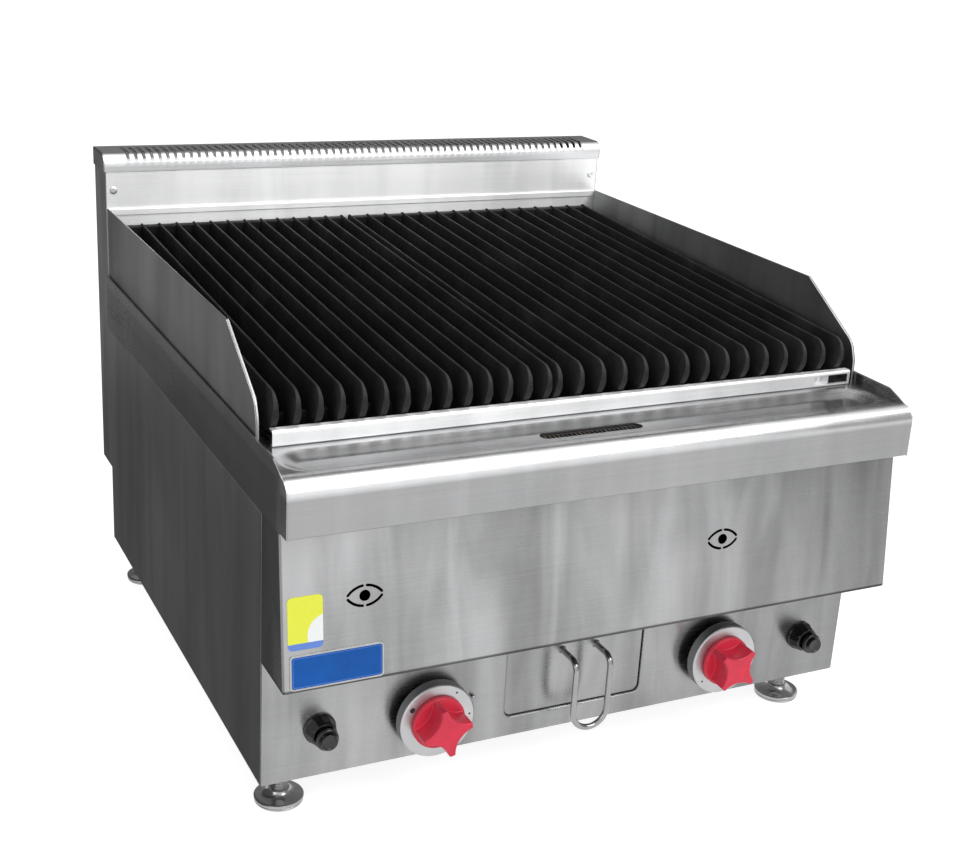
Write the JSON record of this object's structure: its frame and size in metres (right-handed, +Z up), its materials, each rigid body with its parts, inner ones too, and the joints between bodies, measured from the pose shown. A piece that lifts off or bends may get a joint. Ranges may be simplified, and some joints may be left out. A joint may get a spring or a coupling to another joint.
{
  "type": "charbroiler grill",
  "caption": "Bench-top gas charbroiler with cast-iron grates over radiants and burners, rounded gutter, splash guards, slotted rear flue, turn knobs and a grease drawer.",
  "frame": {"origin": "on the floor, under the centre of the whole unit's box", "axes": "+X to the unit's right as seen from the front, +Y to its back, +Z up"},
  "size_m": [0.6, 0.65, 0.475],
  "materials": {
    "stainless": "brushed along its length",
    "heat_dulled_steel": "dull, coloured by heat",
    "grate_iron": "as cast, seasoned black",
    "pipe_paint": "satin black",
    "brass_fittings": "machined",
    "pipe_aluminium": "drawn tube",
    "glazed_ceramic": "glazed ceramic",
    "lead_rubber": "silicone lead",
    "plain_steel": "zinc plated",
    "dial_aluminium": "satin",
    "red_plastic": "moulded, semi-gloss",
    "black_plastic": "moulded, gloss",
    "bright_steel": "polished",
    "blue_enamel": "enamelled plate with a bright border",
    "label_film": "printed film in plain colour blocks"
  },
  "bodies": {
    "cabinet": {"base_pan": "stainless", "side_panel_left": "stainless", "side_panel_right": "stainless", "rear_panel": "stainless", "control_panel": "stainless", "front_panel": "stainless", "top_frame": "stainless", "drain_strainer": "stainless", "front_strip": "stainless", "side_guard_left": "stainless", "side_guard_right": "stainless", "rear_guard": "stainless", "flue_box": "stainless", "flue_cap": "stainless", "firebox": "heat_dulled_steel", "firebox_rim": "heat_dulled_steel", "firebox_ledges": "heat_dulled_steel", "grate_rests": "heat_dulled_steel", "grease_pan": "heat_dulled_steel", "burner_left": "heat_dulled_steel", "burner_right": "heat_dulled_steel", "gas_manifold": "pipe_paint", "gas_inlet": "brass_fittings", "tap_body_left": "brass_fittings", "tap_body_right": "brass_fittings", "index_pins": "bright_steel", "gas_pipes": "pipe_aluminium", "injectors": "brass_fittings", "pilots": "heat_dulled_steel", "pilot_pipes": "pipe_aluminium", "thermocouples": "brass_fittings", "electrodes": "glazed_ceramic", "ignition_leads": "lead_rubber", "igniter_body_left": "black_plastic", "igniter_body_right": "black_plastic", "drawer_runners": "plain_steel", "badge_plate": "blue_enamel", "label_plate": "label_film", "screws": "bright_steel"},
    "valve_left": {"tap_plug_left": "brass_fittings"},
    "valve_right": {"tap_plug_right": "brass_fittings"},
    "knob_left": {"spindle_left": "plain_steel", "dial_left": "dial_aluminium", "grip_left": "red_plastic"},
    "knob_right": {"spindle_right": "plain_steel", "dial_right": "dial_aluminium", "grip_right": "red_plastic"},
    "igniter_left": {"igniter_button_left": "black_plastic"},
    "igniter_right": {"igniter_button_right": "black_plastic"},
    "drawer": {"drawer_tray": "stainless", "drawer_front": "stainless", "drawer_handle": "bright_steel"},
    "left_grate": {"grate_left": "grate_iron"},
    "right_grate": {"grate_right": "grate_iron"},
    "left_radiant": {"radiant_left": "heat_dulled_steel"},
    "right_radiant": {"radiant_right": "heat_dulled_steel"},
    "front_left_foot": {"foot_front_left": "bright_steel"},
    "front_right_foot": {"foot_front_right": "bright_steel"},
    "rear_left_foot": {"foot_rear_left": "bright_steel"},
    "rear_right_foot": {"foot_rear_right": "bright_steel"}
  },
  "joints": [
    {"name": "tap_turn_left", "type": "hinge", "parent": "cabinet", "child": "valve_left", "pos_m": [-0.146, -0.252, 0.079], "axis": [0, -1, 0], "range_deg": [0, 220]},
    {"name": "knob_push_left", "type": "slide", "parent": "valve_left", "child": "knob_left", "axis": [0, 1, 0], "range_m": [0, 0.003], "stiffness_N_per_m": 1200},
    {"name": "tap_turn_right", "type": "hinge", "parent": "cabinet", "child": "valve_right", "pos_m": [0.152, -0.252, 0.0835], "axis": [0, -1, 0], "range_deg": [-216, 4]},
    {"name": "knob_push_right", "type": "slide", "parent": "valve_right", "child": "knob_right", "axis": [0, 1, 0], "range_m": [0, 0.003], "stiffness_N_per_m": 1200},
    {"name": "igniter_push_left", "type": "slide", "parent": "cabinet", "child": "igniter_left", "axis": [0, 1, 0], "range_m": [0, 0.004], "stiffness_N_per_m": 1500},
    {"name": "igniter_push_right", "type": "slide", "parent": "cabinet", "child": "igniter_right", "axis": [0, 1, 0], "range_m": [0, 0.004], "stiffness_N_per_m": 1500},
    {"name": "drawer_slide", "type": "slide", "parent": "cabinet", "child": "drawer", "axis": [0, -1, 0], "range_m": [0, 0.38]},
    {"name": "grate_lift_left", "type": "slide", "parent": "cabinet", "child": "left_grate", "axis": [0, 0, 1], "range_m": [0, 0.12]},
    {"name": "radiant_lift_left", "type": "slide", "parent": "cabinet", "child": "left_radiant", "axis": [0, 0, 1], "range_m": [0, 0.035]},
    {"name": "grate_lift_right", "type": "slide", "parent": "cabinet", "child": "right_grate", "axis": [0, 0, 1], "range_m": [0, 0.12]},
    {"name": "radiant_lift_right", "type": "slide", "parent": "cabinet", "child": "right_radiant", "axis": [0, 0, 1], "range_m": [0, 0.035]},
    {"name": "front_left_foot_height", "type": "slide", "parent": "cabinet", "child": "front_left_foot", "axis": [0, 0, -1], "range_m": [0, 0.015]},
    {"name": "front_right_foot_height", "type": "slide", "parent": "cabinet", "child": "front_right_foot", "axis": [0, 0, -1], "range_m": [0, 0.015]},
    {"name": "rear_left_foot_height", "type": "slide", "parent": "cabinet", "child": "rear_left_foot", "axis": [0, 0, -1], "range_m": [0, 0.015]},
    {"name": "rear_right_foot_height", "type": "slide", "parent": "cabinet", "child": "rear_right_foot", "axis": [0, 0, -1], "range_m": [0, 0.015]}
  ]
}
